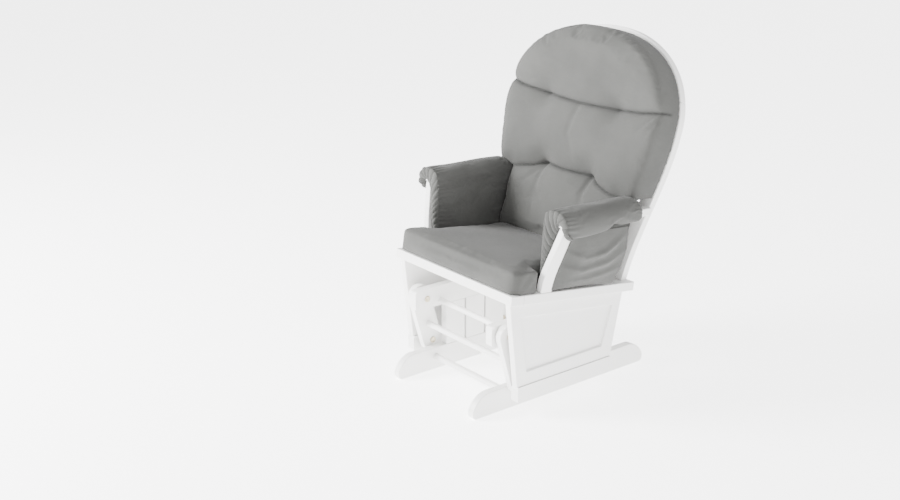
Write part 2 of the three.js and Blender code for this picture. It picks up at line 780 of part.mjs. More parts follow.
// ---------------------------------------------------------------- cushions
function makeSeatCushion(parent) {
  const group = new THREE.Group();
  group.position.set(0, seatFront.y, seatFront.z);
  group.rotation.x = -seatTilt;
  parent.add(group);
  const ear = seatHalf - seatCushionInset;
  const half = seatCushionHalfWidth;
  const rear = half - seatCushionTaper;
  const corner = seatCushionCorner;
  const notch = seatCushionEarRound;
  const front = seatCushionInset;
  const shape = new THREE.Shape();
  shape.moveTo(-ear + corner, front);
  shape.lineTo(ear - corner, front);
  shape.quadraticCurveTo(ear, front, ear, front + corner);
  shape.lineTo(ear, seatCushionEarLength - notch);
  shape.quadraticCurveTo(ear, seatCushionEarLength, ear - notch, seatCushionEarLength);
  shape.lineTo(half, seatCushionEarLength);
  shape.lineTo(rear, seatCushionLength - corner);
  shape.quadraticCurveTo(rear, seatCushionLength, rear - corner, seatCushionLength);
  shape.lineTo(-rear + corner, seatCushionLength);
  shape.quadraticCurveTo(-rear, seatCushionLength, -rear, seatCushionLength - corner);
  shape.lineTo(-half, seatCushionEarLength);
  shape.lineTo(-ear + notch, seatCushionEarLength);
  shape.quadraticCurveTo(-ear, seatCushionEarLength, -ear, seatCushionEarLength - notch);
  shape.lineTo(-ear, front + corner);
  shape.quadraticCurveTo(-ear, front, -ear + corner, front);
  const mesh = place(group, 'seat_cushion', extruded(shape, seatCushionThickness), fabric);
  mesh.position.z = FIT;
}

// The space that an arm and its pad take beside the back cushion, as a cutter.
function besideCushion(side) {
  const reach = 500;
  const block = new THREE.Mesh(new THREE.BoxGeometry(reach, 2 * reach, reach));
  const up = armrestThickness + padTop + cushionGap - reach / 2;
  block.rotation.x = -armSlope;
  block.position.set(side.sign * (backCushionWaist + reach / 2),
    armrestFront + up * Math.sin(armSlope), armrestUnderside + up * Math.cos(armSlope));
  return block;
}

function makeBackCushion(parent) {
  const group = reclined();
  parent.add(group);
  const from = backThickness + FIT;
  const edge = cushionEdge();
  const outline = new THREE.Shape([...edge, ...mirrorPoints(edge)]);
  const mesh = backBoard(group, 'back_cushion', outline, from, from + backCushionThickness, fabric);
  cut(mesh, belowSeatPlane(seatCushionThickness + cushionGap), ...sides.map(besideCushion));
}

// ---------------------------------------------------------------- assembly
const base = new THREE.Group();
const frontLinks = new THREE.Group();
const rearLinks = new THREE.Group();
const seat = new THREE.Group();
object.add(base, frontLinks, rearLinks, seat);

makeBase(base);
makeLinks(frontLinks, 'front', frontUpperPivot, frontLowerPivot, pivotClearance, frontDowelDrop);
makeLinks(rearLinks, 'rear', rearUpperPivot, rearLowerPivot, openPivotClearance, rearDowelDrop);
for (const side of sides) {
  makeUpperBolt(base, 'front_upper_bolt', frontUpperPivot, side);
  makeUpperBolt(base, 'rear_upper_bolt', rearUpperPivot, side);
  makeLowerBolt(seat, 'front_lower_bolt', frontLowerPivot, side);
  makeLowerBolt(seat, 'rear_lower_bolt', rearLowerPivot, side);
  makeBearing(seat, 'front_lower_bearing', frontLowerPivot, side);
  makeBearing(seat, 'rear_lower_bearing', rearLowerPivot, side);
  makeSidePanel(seat, side);
  makeArm(seat, side);
}
makeSeatFrame(seat);
makeBack(seat);
makeSeatCushion(seat);
makeBackCushion(seat);

// The origin goes under the middle of the chair's depth.
object.updateMatrixWorld(true);
const bounds = new THREE.Box3().setFromObject(object);
object.position.y = -(bounds.min.y + bounds.max.y) / 2;

export default object;
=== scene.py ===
"""A glider nursery chair: white painted wood, grey padded covers, and the metal of its four pivots."""

import json
import math

import bmesh
import bpy
import numpy as np
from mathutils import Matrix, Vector, kdtree, noise

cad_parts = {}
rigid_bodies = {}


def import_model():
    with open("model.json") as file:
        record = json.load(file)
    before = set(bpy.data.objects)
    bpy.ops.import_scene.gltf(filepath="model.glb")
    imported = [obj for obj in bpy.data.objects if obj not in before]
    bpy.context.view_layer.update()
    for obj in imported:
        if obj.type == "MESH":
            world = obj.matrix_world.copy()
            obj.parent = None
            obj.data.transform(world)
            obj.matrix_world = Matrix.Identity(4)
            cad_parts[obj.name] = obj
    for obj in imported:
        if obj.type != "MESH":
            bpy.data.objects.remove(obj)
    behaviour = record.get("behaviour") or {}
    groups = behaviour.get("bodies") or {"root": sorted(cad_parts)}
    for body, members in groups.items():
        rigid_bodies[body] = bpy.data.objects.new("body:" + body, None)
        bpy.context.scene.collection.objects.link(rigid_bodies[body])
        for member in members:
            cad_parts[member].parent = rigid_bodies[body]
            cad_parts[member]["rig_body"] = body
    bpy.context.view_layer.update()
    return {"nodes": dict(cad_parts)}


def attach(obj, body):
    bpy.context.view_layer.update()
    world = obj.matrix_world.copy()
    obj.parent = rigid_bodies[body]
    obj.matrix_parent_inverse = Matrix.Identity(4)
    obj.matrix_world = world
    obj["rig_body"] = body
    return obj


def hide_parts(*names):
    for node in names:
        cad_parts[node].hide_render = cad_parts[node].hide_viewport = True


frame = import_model()
nodes = frame["nodes"]
scene = bpy.context.scene

# ---------------------------------------------------------------- places, in metres
SHIFT = -0.02525                       # from the middle of the runners to the middle of the chair
RECLINE = math.radians(15.6)
BACK_FOOT = np.array([0.0, 0.189 + SHIFT, 0.290])
BACK_UP = np.array([0.0, math.sin(RECLINE), math.cos(RECLINE)])
BACK_OUT = np.array([0.0, -math.cos(RECLINE), math.sin(RECLINE)])
TILT = math.radians(7.8)
SEAT_FRONT = np.array([0.0, -0.266 + SHIFT, 0.376])
SEAT_BACK = np.array([0.0, math.cos(TILT), -math.sin(TILT)])
SEAT_UP = np.array([0.0, math.sin(TILT), math.cos(TILT)])
ARM_SLOPE = math.radians(5.4)
ARM_FRONT = np.array([0.0, -0.124 + SHIFT, 0.550])
ACROSS = np.array([1.0, 0.0, 0.0])


# ---------------------------------------------------------------- materials
def texture_group(name, scale, detail, low, high):
    """Soft noise at one scale, spread between two values."""
    tree = bpy.data.node_groups.new(name, "ShaderNodeTree")
    tree.interface.new_socket("Vector", in_out="INPUT", socket_type="NodeSocketVector")
    tree.interface.new_socket("Value", in_out="OUTPUT", socket_type="NodeSocketFloat")
    entry = tree.nodes.new("NodeGroupInput")
    leave = tree.nodes.new("NodeGroupOutput")
    tex = tree.nodes.new("ShaderNodeTexNoise")
    tex.inputs["Scale"].default_value = scale
    tex.inputs["Detail"].default_value = detail
    spread = tree.nodes.new("ShaderNodeMapRange")
    spread.inputs["From Min"].default_value = 0.3
    spread.inputs["From Max"].default_value = 0.7
    spread.inputs["To Min"].default_value = low
    spread.inputs["To Max"].default_value = high
    tree.links.new(entry.outputs["Vector"], tex.inputs["Vector"])
    tree.links.new(tex.outputs["Fac"], spread.inputs["Value"])
    tree.links.new(spread.outputs["Result"], leave.inputs["Value"])
    return tree


def new_material(name, **sockets):
    mat = bpy.data.materials.new(name)
    mat.use_nodes = True
    shader = mat.node_tree.nodes["Principled BSDF"]
    for socket, value in sockets.items():
        shader.inputs[socket.replace("_", " ")].default_value = value
    coords = mat.node_tree.nodes.new("ShaderNodeTexCoord")
    return mat, mat.node_tree, shader, coords


def add_group(tree, group, source):
    node = tree.nodes.new("ShaderNodeGroup")
    node.node_tree = group
    tree.links.new(source, node.inputs["Vector"])
    return node.outputs["Value"]


def add_bump(tree, shader, heights):
    """Bumps one after another, each given as (height, strength, distance)."""
    normal = None
    for height, strength, distance in heights:
        bump = tree.nodes.new("ShaderNodeBump")
        bump.inputs["Strength"].default_value = strength
        bump.inputs["Distance"].default_value = distance
        tree.links.new(height, bump.inputs["Height"])
        if normal:
            tree.links.new(normal, bump.inputs["Normal"])
        normal = bump.outputs["Normal"]
    tree.links.new(normal, shader.inputs["Normal"])


def add_colour(tree, shader, factor, dark, light):
    mix = tree.nodes.new("ShaderNodeMix")
    mix.data_type = "RGBA"
    mix.inputs["A"].default_value = (*dark, 1)
    mix.inputs["B"].default_value = (*light, 1)
    tree.links.new(factor, mix.inputs["Factor"])
    tree.links.new(mix.outputs["Result"], shader.inputs["Base Color"])


def stretched(tree, coords, scale):
    mapping = tree.nodes.new("ShaderNodeMapping")
    mapping.inputs["Scale"].default_value = scale
    tree.links.new(coords.outputs["Object"], mapping.inputs["Vector"])
    return mapping.outputs["Vector"]


def paint_material():
    """Sprayed satin paint over wood: a slight grain and orange peel, and patches a little more matt."""
    mat, tree, shader, coords = new_material("white_paint_finish", Coat_Weight=0.25, Coat_Roughness=0.28,
                                             Specular_IOR_Level=0.45)
    here = coords.outputs["Object"]
    tone = add_group(tree, texture_group("paint_tone", 5, 4, 0, 1), here)
    sheen = add_group(tree, texture_group("paint_sheen", 22, 3, 0.34, 0.46), here)
    peel = add_group(tree, texture_group("paint_peel", 420, 2, 0, 1), here)
    grain = add_group(tree, texture_group("paint_grain", 60, 5, 0, 1), stretched(tree, coords, (8, 0.6, 3)))
    add_colour(tree, shader, tone, (0.80, 0.795, 0.78), (0.845, 0.84, 0.825))
    tree.links.new(sheen, shader.inputs["Roughness"])
    add_bump(tree, shader, [(grain, 0.10, 0.0004), (peel, 0.10, 0.0002)])
    return mat


def fabric_material(name, dark, light):
    """Brushed polyester: short nap with a fine weave under it, and a soft sheen."""
    mat, tree, shader, coords = new_material(name, Roughness=0.88, Sheen_Weight=0.10, Sheen_Roughness=0.4,
                                             Specular_IOR_Level=0.2)
    here = coords.outputs["Object"]
    nap = add_group(tree, texture_group(name + "_nap", 7, 5, 0, 1), here)
    pile = add_group(tree, texture_group(name + "_pile", 900, 4, 0, 1), here)
    slub = add_group(tree, texture_group(name + "_slub", 160, 3, 0, 1), stretched(tree, coords, (1, 1, 5)))
    blend = tree.nodes.new("ShaderNodeMix")
    blend.inputs["Factor"].default_value = 0.35
    tree.links.new(nap, blend.inputs["A"])
    tree.links.new(pile, blend.inputs["B"])
    add_colour(tree, shader, blend.outputs["Result"], dark, light)
    # painted shade: the base colour is darkened to about a third in the sewn creases, as if shade fell there
    crease_shade = tree.nodes.new("ShaderNodeAttribute")
    crease_shade.attribute_name = "crease_shade"
    shade = tree.nodes.new("ShaderNodeMix")
    shade.data_type = "RGBA"
    shade.inputs["B"].default_value = (dark[0] * 0.35, dark[1] * 0.35, dark[2] * 0.35, 1)
    tree.links.new(crease_shade.outputs["Fac"], shade.inputs["Factor"])
    tree.links.new(shader.inputs["Base Color"].links[0].from_socket, shade.inputs["A"])
    tree.links.new(shade.outputs["Result"], shader.inputs["Base Color"])
    add_bump(tree, shader, [(slub, 0.12, 0.0008), (pile, 0.35, 0.0006)])
    return mat


def zinc_material():
    mat, tree, shader, coords = new_material("zinc_finish", Metallic=1.0)
    here = coords.outputs["Object"]
    tone = add_group(tree, texture_group("zinc_tone", 90, 4, 0, 1), here)
    wear = add_group(tree, texture_group("zinc_wear", 260, 3, 0.24, 0.42), here)
    turned = add_group(tree, texture_group("zinc_turning", 700, 2, 0, 1), here)
    add_colour(tree, shader, tone, (0.50, 0.43, 0.30), (0.66, 0.60, 0.47))
    tree.links.new(wear, shader.inputs["Roughness"])
    add_bump(tree, shader, [(turned, 0.08, 0.0002)])
    return mat


def nylon_material():
    mat, tree, shader, coords = new_material("nylon_finish", Specular_IOR_Level=0.4)
    here = coords.outputs["Object"]
    tone = add_group(tree, texture_group("nylon_tone", 60, 3, 0, 1), here)
    rough = add_group(tree, texture_group("nylon_rough", 180, 3, 0.42, 0.6), here)
    add_colour(tree, shader, tone, (0.045, 0.045, 0.048), (0.07, 0.07, 0.073))
    tree.links.new(rough, shader.inputs["Roughness"])
    add_bump(tree, shader, [(rough, 0.1, 0.0003)])
    return mat


paint = paint_material()
fabric = fabric_material("grey_fabric_finish", (0.062, 0.0625, 0.0595), (0.090, 0.0905, 0.086))
zinc = zinc_material()
nylon = nylon_material()


# ---------------------------------------------------------------- making pieces
def add_piece(name, mesh, material, slot, body, *stands_for):
    mesh.name = name
    piece = bpy.data.objects.new(name, mesh)
    scene.collection.objects.link(piece)
    piece.data.materials.clear()
    piece.data.materials.append(material)
    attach(piece, body)
    if stands_for:
        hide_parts(*stands_for)
    return piece


def smooth(mesh):
    mesh.polygons.foreach_set("use_smooth", [True] * len(mesh.polygons))


def eased_copy(node, width, material, slot):
    """A wooden board with the edges eased that the plain one has square."""
    source = nodes[node]
    work = bmesh.new()
    work.from_mesh(source.data)
    bmesh.ops.remove_doubles(work, verts=work.verts, dist=1e-5)
    bmesh.ops.dissolve_limit(work, angle_limit=math.radians(0.4), verts=work.verts, edges=work.edges)
    sharp = [e for e in work.edges if len(e.link_faces) == 2 and e.calc_face_angle(0) > math.radians(30)]
    bmesh.ops.bevel(work, geom=sharp, offset=width, offset_type="OFFSET", segments=3, profile=0.5,
                    affect="EDGES", clamp_overlap=True, material=-1)
    mesh = bpy.data.meshes.new(node + "_eased")
    work.to_mesh(mesh)
    work.free()
    smooth(mesh)
    piece = add_piece(node + "_eased", mesh, material, slot, source["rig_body"], node)
    even = piece.modifiers.new("even", "WEIGHTED_NORMAL")
    even.keep_sharp = True
    return piece


def evaluated_copy(piece):
    graph = bpy.context.evaluated_depsgraph_get()
    return bpy.data.meshes.new_from_object(piece.evaluated_get(graph), preserve_all_data_layers=True,
                                           depsgraph=graph)


def remeshed(node, size):
    """A node's shape as an even net of small squares."""
    mesh = nodes[node].data.copy()
    scratch = bpy.data.objects.new("scratch", mesh)
    scene.collection.objects.link(scratch)
    net = scratch.modifiers.new("net", "REMESH")
    net.mode = "VOXEL"
    net.voxel_size = size
    result = evaluated_copy(scratch)
    bpy.data.objects.remove(scratch)
    return result


def get_points(mesh):
    co = np.zeros(len(mesh.vertices) * 3)
    mesh.vertices.foreach_get("co", co)
    return co.reshape(-1, 3)


def set_points(mesh, points):
    mesh.vertices.foreach_set("co", points.reshape(-1))
    mesh.update()


def get_normals(mesh):
    out = np.zeros(len(mesh.vertices) * 3)
    mesh.vertices.foreach_get("normal", out)
    return out.reshape(-1, 3)


def relax(mesh, rounds, keep):
    """Smooths the net, except for the points in keep."""
    work = bmesh.new()
    work.from_mesh(mesh)
    loose = [v for v in work.verts if not keep[v.index]]
    for _ in range(rounds):
        bmesh.ops.smooth_vert(work, verts=loose, factor=0.5, use_axis_x=True, use_axis_y=True,
                              use_axis_z=True)
    work.to_mesh(mesh)
    work.free()
    mesh.update()


def smoothstep(low, high, value):
    t = np.clip((value - low) / (high - low), 0, 1)
    return t * t * (3 - 2 * t)


def distance_to_path(a, b, path):
    """How far each point (a, b) is from a row of straight pieces, and its nearest place along them."""
    best = np.full(a.shape, 1e9)
    along = np.zeros(a.shape)
    done = 0.0
    for (a0, b0), (a1, b1) in zip(path[:-1], path[1:]):
        length = math.hypot(a1 - a0, b1 - b0)
        t = np.clip(((a - a0) * (a1 - a0) + (b - b0) * (b1 - b0)) / length**2, 0, 1)
        d = np.hypot(a - a0 - t * (a1 - a0), b - b0 - t * (b1 - b0))
        nearer = d < best
        best = np.where(nearer, d, best)
        along = np.where(nearer, done + t * length, along)
        done += length
    return best, along / done


CLOTH_STIFFNESS = 12.0
CLOTH_MASS = 0.25


def puff(mesh, pins, pressure, most, bending, slack=0.0, steps=20):
    """Lets a cover swell like stuffed cloth, held where pins are 1. No point moves farther than most."""
    before = get_points(mesh)
    piece = bpy.data.objects.new("swelling", mesh.copy())
    scene.collection.objects.link(piece)
    held = piece.vertex_groups.new(name="held")
    for level in np.unique(np.round(pins, 1)):
        if level > 0:
            held.add(np.nonzero(np.round(pins, 1) == level)[0].tolist(), float(level), "REPLACE")
    cloth = piece.modifiers.new("cloth", "CLOTH")
    settings = cloth.settings
    settings.quality = 6
    settings.mass = CLOTH_MASS
    settings.tension_stiffness = settings.compression_stiffness = CLOTH_STIFFNESS
    settings.shear_stiffness = CLOTH_STIFFNESS / 2
    settings.bending_stiffness = bending
    settings.use_pressure = True
    settings.uniform_pressure_force = pressure
    settings.shrink_min = -slack
    settings.vertex_group_mass = "held"
    settings.effector_weights.gravity = 0.0
    cloth.collision_settings.use_collision = False
    cloth.point_cache.frame_start = 1
    cloth.point_cache.frame_end = steps
    for step in range(1, steps + 1):
        scene.frame_set(step)
    after = get_points(evaluated_copy(piece))
    bpy.data.objects.remove(piece)
    scene.frame_set(1)
    move = after - before
    far = np.linalg.norm(move, axis=1, keepdims=True)
    limit = np.minimum(1, most / np.maximum(far, 1e-9))
    set_points(mesh, before + move * limit)


def paint_crease_shade(mesh, depth):
    """Notes how deep in a sewn crease each point lies, for the painted shade that darkens the fabric there.
    """
    note = mesh.attributes.new("crease_shade", "FLOAT", "POINT")
    note.data.foreach_set("value", np.clip(depth, 0, 1).astype(np.float32))


def add_finer(piece):
    finer = piece.modifiers.new("finer", "SUBSURF")
    finer.levels = finer.render_levels = 1


def add_cushion(name, mesh, node):
    smooth(mesh)
    piece = add_piece(name, mesh, fabric, "grey_fabric", "seat", node)
    add_finer(piece)


def quilt(name, mesh, thickness, fill, *stands_for):
    """A padded panel: two layers with a soft rim."""
    smooth(mesh)
    piece = add_piece(name, mesh, fabric, "grey_fabric", "seat", *stands_for)
    thick = piece.modifiers.new("thick", "SOLIDIFY")
    thick.thickness = thickness
    thick.offset = -1
    add_finer(piece)


def placed(foot, x, along, along_axis, out, out_axis):
    """Points in the chair's space from a cushion's own three measures."""
    return foot + np.outer(x, ACROSS) + np.outer(along, along_axis) + np.outer(out, out_axis)


# ---------------------------------------------------------------- back cushion
SEAM_UPPER = [(-0.312, 0.520), (-0.25, 0.508), (-0.146, 0.500), (0.0, 0.494), (0.146, 0.500), (0.25, 0.508),
              (0.312, 0.520)]
SEAM_LOWER = [(-0.30, 0.252), (-0.20, 0.262), (-0.135, 0.278), (-0.096, 0.296), (0.0, 0.292), (0.096, 0.296),
              (0.135, 0.278), (0.20, 0.262), (0.30, 0.252)]
TUFTS = [(-0.146, 0.500), (0.146, 0.500), (-0.096, 0.296), (0.096, 0.296)]
# folds that run out from the ties and the seams' ends: where each runs, how deep, how wide
BACK_FOLDS = [([(0.004, 0.48), (-0.006, 0.40), (0.035, 0.33), (0.092, 0.30)], 0.0045, 0.011),
              ([(-0.10, 0.29), (-0.125, 0.25), (-0.165, 0.205)], 0.009, 0.010),
              ([(-0.098, 0.285), (-0.088, 0.22), (-0.075, 0.12)], 0.007, 0.009),
              ([(0.098, 0.288), (0.10, 0.24), (0.115, 0.19)], 0.009, 0.009),
              ([(0.30, 0.512), (0.27, 0.47), (0.25, 0.45)], 0.004, 0.006),
              ([(0.312, 0.50), (0.29, 0.455), (0.285, 0.43)], 0.004, 0.006)]
BACK_NET = 0.005
FLAT_REAR = 0.006                      # what lies this close to the rear stays flat against the frame
PILLOW_RIM = 0.060                     # from the sewn edge in to where the cushion is full
STITCH_DEPTH, STITCH_WIDTH = 0.0150, 0.0060
FOOT_SINK = 0.016                      # its foot sinks into the seat cushion this far
SEWN_WIDTH = 0.005
TIE_WIDTH = 0.010
# how wide the painted shade along the seams reaches
CREASE_SHADE_WIDTH = 0.0035


def make_back_cushion():
    mesh = remeshed("back_cushion", BACK_NET)
    local = get_points(mesh) - BACK_FOOT
    x, v, n = local[:, 0], local @ BACK_UP, local @ BACK_OUT
    rear, front = n.min(), n.max()
    side = np.abs(get_normals(mesh) @ BACK_OUT) < 0.5
    tree = kdtree.KDTree(int(side.sum()))
    for i, j in enumerate(np.nonzero(side)[0]):
        tree.insert((x[j], v[j], 0), i)
    tree.balance()
    inset = np.array([tree.find((a, b, 0))[2] for a, b in zip(x, v)])
    inset = np.where(side, 0, inset)
    # a pillow's section: low at its sewn edge, full a hand's width in
    share = np.clip(inset / PILLOW_RIM, 0, 1)
    profile = 0.84 + 0.14 * np.sqrt(1 - (1 - share) ** 2)
    n = rear + (n - rear) * profile
    # round the edge, before the seams are drawn in
    set_points(mesh, placed(BACK_FOOT, x, v, BACK_UP, n, BACK_OUT))
    relax(mesh, 14, n < rear + FLAT_REAR)
    local = get_points(mesh) - BACK_FOOT
    x, v, n = local[:, 0], local @ BACK_UP, local @ BACK_OUT
    # grooves along the seams, and dimples where the cushion is tied through
    upper, _ = distance_to_path(x, v, SEAM_UPPER)
    lower, _ = distance_to_path(x, v, SEAM_LOWER)
    forward = smoothstep(0.25, 0.75, (n - rear) / (front - rear) / np.maximum(profile, 0.1))
    middle = 1 - smoothstep(0.13, 0.30, np.abs(x)) * 0.55
    groove = STITCH_DEPTH * np.exp(-upper / STITCH_WIDTH) + 0.010 * np.exp(-(upper / 0.034) ** 2)
    groove += middle * (STITCH_DEPTH * np.exp(-lower / STITCH_WIDTH) + 0.011 * np.exp(-(lower / 0.038) ** 2))
    for a, b in TUFTS:
        away = np.hypot(x - a, v - b)
        groove += 0.017 * np.exp(-(away / 0.046) ** 2) + 0.008 * np.exp(-away / 0.010)
    for path, depth, wide in BACK_FOLDS:
        away, place = distance_to_path(x, v, path)
        groove += depth * (1 - place) ** 0.6 * np.exp(-(away / wide) ** 2)
    n = n - groove * forward
    v = v - FOOT_SINK * (1 - smoothstep(v.min(), v.min() + 0.08, v))
    set_points(mesh, placed(BACK_FOOT, x, v, BACK_UP, n, BACK_OUT))
    flat = n < rear + FLAT_REAR
    pins = np.where(flat, 1.0, 0.0)
    sewn = np.exp(-(upper / SEWN_WIDTH) ** 2) + np.exp(-(lower / SEWN_WIDTH) ** 2) * middle
    for a, b in TUFTS:
        sewn += np.exp(-(np.hypot(x - a, v - b) / TIE_WIDTH) ** 2)
    pins = np.maximum(pins, np.clip(sewn * 1.3, 0, 1) * forward)
    puff(mesh, pins, pressure=2.2, most=0.008, bending=4.0)
    # painted shade: marks the sewn seams, where the fabric's colour is darkened to stand in for the shade in
    # the creases
    crease_shade = np.exp(-(upper / CREASE_SHADE_WIDTH) ** 2) + middle * np.exp(-(lower / CREASE_SHADE_WIDTH) ** 2)
    paint_crease_shade(mesh, crease_shade * forward)
    add_cushion("back_cushion_cover", mesh, "back_cushion")


# ---------------------------------------------------------------- seat cushion
SEAT_NET = 0.006
SEAT_RIM = 0.16                        # from the edges in to where the cushion is full


def make_seat_cushion():
    mesh = remeshed("seat_cushion", SEAT_NET)
    local = get_points(mesh) - SEAT_FRONT
    x, b, u = local[:, 0], local @ SEAT_BACK, local @ SEAT_UP
    low = u.min()
    # fullest in the middle, lower towards its front, rear and outer edges
    inset = np.minimum(np.minimum(b - b.min(), b.max() - b), np.abs(x).max() - np.abs(x))
    share = np.clip(inset / SEAT_RIM, 0, 1)
    crown = 0.86 + 0.16 * np.sqrt(1 - (1 - share) ** 2)
    u = low + (u - low) * crown
    set_points(mesh, placed(SEAT_FRONT, x, b, SEAT_BACK, u, SEAT_UP))
    flat = u < low + 0.004
    relax(mesh, 6, flat)
    pins = np.where(flat, 1.0, 0.0)
    puff(mesh, pins, pressure=1.2, most=0.004, bending=4.0)
    add_cushion("seat_cushion_cover", mesh, "seat_cushion")


# ---------------------------------------------------------------- arm covers
def seat_height(y, up=0.0):
    return SEAT_FRONT[2] - (y - SEAT_FRONT[1]) * math.tan(TILT) + up / math.cos(TILT)


def resampled(path, count):
    """Evenly spaced points along a smooth line through the given ones."""
    path = np.array(path, float)
    fine = []
    padded = np.vstack([2 * path[0] - path[1], path, 2 * path[-1] - path[-2]])
    for i in range(1, len(padded) - 2):
        p0, p1, p2, p3 = padded[i - 1:i + 3]
        for t in np.linspace(0, 1, 24, endpoint=False):
            fine.append(0.5 * (2 * p1 + (p2 - p0) * t + (2 * p0 - 5 * p1 + 4 * p2 - p3) * t**2
                               + (3 * p1 - p0 - 3 * p2 + p3) * t**3))
    fine.append(path[-1])
    fine = np.array(fine)
    run = np.concatenate([[0], np.cumsum(np.linalg.norm(np.diff(fine, axis=0), axis=1))])
    at = np.linspace(0, run[-1], count)
    return np.stack([np.interp(at, run, fine[:, k]) for k in range(fine.shape[1])], axis=1)


def grid_mesh(name, rows, columns, place, flip=False):
    """A net of rows by columns whose points are put in place by a function of two shares."""
    work = bmesh.new()
    bmesh.ops.create_grid(work, x_segments=columns - 1, y_segments=rows - 1, size=0.5)
    work.verts.ensure_lookup_table()
    co = np.array([v.co for v in work.verts])
    share_c, share_r = co[:, 0] + 0.5, co[:, 1] + 0.5
    points = place(share_r, share_c)
    for vert, point in zip(work.verts, points):
        vert.co = point
    if flip:
        bmesh.ops.reverse_faces(work, faces=work.faces)
    mesh = bpy.data.meshes.new(name)
    work.to_mesh(mesh)
    work.free()
    mesh.update()
    return mesh


ROLL_SECTION = [(0.2330, -0.012), (0.2325, 0.006), (0.2335, 0.022), (0.2400, 0.036), (0.2560, 0.045),
                (0.2780, 0.0475), (0.3000, 0.044), (0.3160, 0.032), (0.3245, 0.014), (0.3255, -0.006),
                (0.3220, -0.022), (0.3140, -0.031), (0.3040, -0.029)]
PANEL_SHARE = 0.42                     # of the sleeve's net, up to where the roll starts
ROLL_CENTRE = (0.281, 0.006)
HEM_FRONT = -0.130 + SHIFT
ROLL_REAR = 0.178 + SHIFT
PANEL_REAR = 0.150 + SHIFT             # of the sleeve's inner panel, in front of the back cushion
HEM_RISE = 0.012                       # the inner panel's hem, above the seat rail
ROLL_TOP = ROLL_SECTION[5][1]
ROLL_ROUND = 0.05                      # about the roll's own radius
SECTION_STEPS = 90
# folds across the pocket, in shares of its width and height: where each runs, and how high it stands
POCKET_FOLDS = [([(0.02, 0.66), (0.30, 0.53), (0.62, 0.60), (1.0, 0.92)], 0.0042),
                ([(0.03, 0.40), (0.34, 0.30), (0.70, 0.40), (1.0, 0.62)], 0.0038),
                ([(0.25, 0.12), (0.55, 0.13), (1.0, 0.30)], 0.0030)]
POST_LINE = [(0.250, -0.140), (0.256, -0.138), (0.267, -0.130), (0.282, -0.114), (0.296, -0.098)]
POST_RISE = [0, 0.18, 0.4, 0.7, 1]
POST_HALF = 0.0115
OPENING = (0.294, -0.008)              # the middle of the sleeve's open end, where the post goes in
GATHER_STEPS = 300


def wrinkle(points, scale, seed):
    """Soft uneven ridges, from -1 to 1, for points in space."""
    out = np.empty(len(points))
    for i, p in enumerate(points):
        out[i] = noise.noise(Vector(p * scale) + Vector((seed, seed * 1.7, 0)))
    return out


def arm_underside(y):
    return ARM_FRONT[2] - (y - ARM_FRONT[1]) * math.tan(ARM_SLOPE)


def sleeve_front(around):
    """Where the sleeve starts: its opening lies aslant, behind the post on the outer side."""
    return HEM_FRONT + 0.036 * smoothstep(0.80, 1.0, around)


def roll_shape(around, y):
    """The roll's section at a place along the arm: it gets lower towards the rear."""
    section = resampled(ROLL_SECTION, SECTION_STEPS)
    steps = np.linspace(0, 1, SECTION_STEPS)
    x = np.interp(around, steps, section[:, 0])
    up = np.interp(around, steps, section[:, 1])
    share = smoothstep(HEM_FRONT, ROLL_REAR, y)
    outer = smoothstep(0.35, 0.6, around)
    up = ROLL_TOP - (ROLL_TOP - up) * (1 - 0.20 * share * outer) + 0.012 * share
    lift = np.exp(-((y - 0.035) / 0.016) ** 2) * smoothstep(0.80, 0.97, around)
    return x - 0.004 * lift, up + 0.008 * lift


